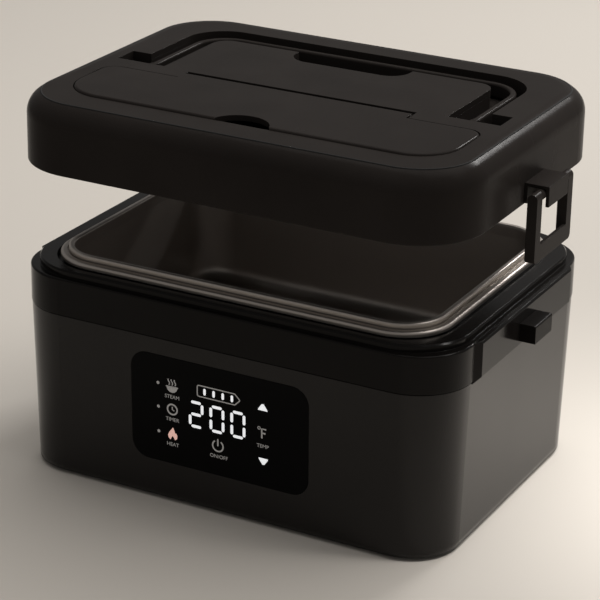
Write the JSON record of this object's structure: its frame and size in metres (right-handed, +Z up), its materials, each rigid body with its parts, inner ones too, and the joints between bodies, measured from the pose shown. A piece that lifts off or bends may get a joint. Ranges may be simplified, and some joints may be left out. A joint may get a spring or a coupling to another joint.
{
  "type": "electric lunch box",
  "caption": "Battery-heated lunch box with a lift-out steel tray and a lift-off lid that has a hinged cutlery compartment, a folding carry handle and side loop latches.",
  "frame": {"origin": "ground under the middle of the base, halfway between the outermost latches and halfway between front and back", "axes": "+X to the right seen from the front, -Y to the front where the control panel is, +Z up"},
  "size_m": [0.265, 0.1784, 0.1945],
  "materials": {
    "base_plastic": "fine satin moulded black",
    "lid_plastic": "fine satin moulded black",
    "liner_plastic": "moulded",
    "panel_gloss": "polished",
    "display_light": "diffuser",
    "tray_steel": "fine brushed",
    "well_coating": "dark non-stick coating",
    "plate_aluminium": "plain",
    "element_steel": "heat-dulled",
    "pin_steel": "blackened",
    "fuse_brass": "plain",
    "insulation_felt": "felted",
    "circuit_board": "lacquered",
    "cell_sleeve": "shrink sleeve",
    "foot_rubber": "matte",
    "seal_silicone": "soft matte"
  },
  "bodies": {
    "base": {"outer_shell": "base_plastic", "top_ring": "base_plastic", "catch_right": "base_plastic", "catch_left": "base_plastic", "control_panel": "panel_gloss", "display_board": "circuit_board", "led_display": "display_light", "control_board": "circuit_board", "heating_well": "well_coating", "heating_plate": "plate_aluminium", "heating_element": "element_steel", "insulation_jacket": "insulation_felt", "temperature_sensor": "plate_aluminium", "thermal_fuse": "fuse_brass", "battery_cells": "cell_sleeve", "battery_holder": "liner_plastic", "bottom_cover": "base_plastic", "bottom_screws": "pin_steel", "rubber_feet": "foot_rubber", "charging_socket": "liner_plastic"},
    "tray": {"food_tray": "tray_steel"},
    "lid": {"lid_shell": "lid_plastic", "lid_top_plate": "lid_plastic", "handle_trough": "lid_plastic", "lid_liner": "liner_plastic", "lid_insulation": "insulation_felt", "lid_seal": "seal_silicone", "lid_screws": "pin_steel", "cutlery_tray": "liner_plastic", "cutlery_hinge_pins": "pin_steel", "handle_pins": "pin_steel", "latch_bracket_right": "lid_plastic", "latch_bracket_left": "lid_plastic", "latch_pins": "pin_steel"},
    "cover": {"cutlery_cover": "lid_plastic"},
    "handle": {"carry_handle": "lid_plastic"},
    "right_latch": {"latch_loop_right": "lid_plastic"},
    "left_latch": {"latch_loop_left": "lid_plastic"}
  },
  "joints": [
    {"name": "tray_lift", "type": "slide", "parent": "base", "child": "tray", "axis": [0, 0, 1], "range_m": [0, 0.075]},
    {"name": "lid_lift", "type": "slide", "parent": "tray", "child": "lid", "axis": [0, 0, 1], "range_m": [-0.0533, 0.1]},
    {"name": "cover_hinge", "type": "hinge", "parent": "lid", "child": "cover", "pos_m": [0, -0.015, 0.1925], "axis": [-1, 0, 0], "range_deg": [0, 90]},
    {"name": "handle_hinge", "type": "hinge", "parent": "lid", "child": "handle", "pos_m": [0, 0.0007, 0.1884], "axis": [1, 0, 0], "range_deg": [0, 90]},
    {"name": "right_latch_hinge", "type": "hinge", "parent": "lid", "child": "right_latch", "pos_m": [0.1285, 0, 0.1665], "axis": [0, -1, 0], "range_deg": [-8, 110]},
    {"name": "left_latch_hinge", "type": "hinge", "parent": "lid", "child": "left_latch", "pos_m": [-0.1285, 0, 0.1665], "axis": [0, 1, 0], "range_deg": [-8, 110]}
  ]
}
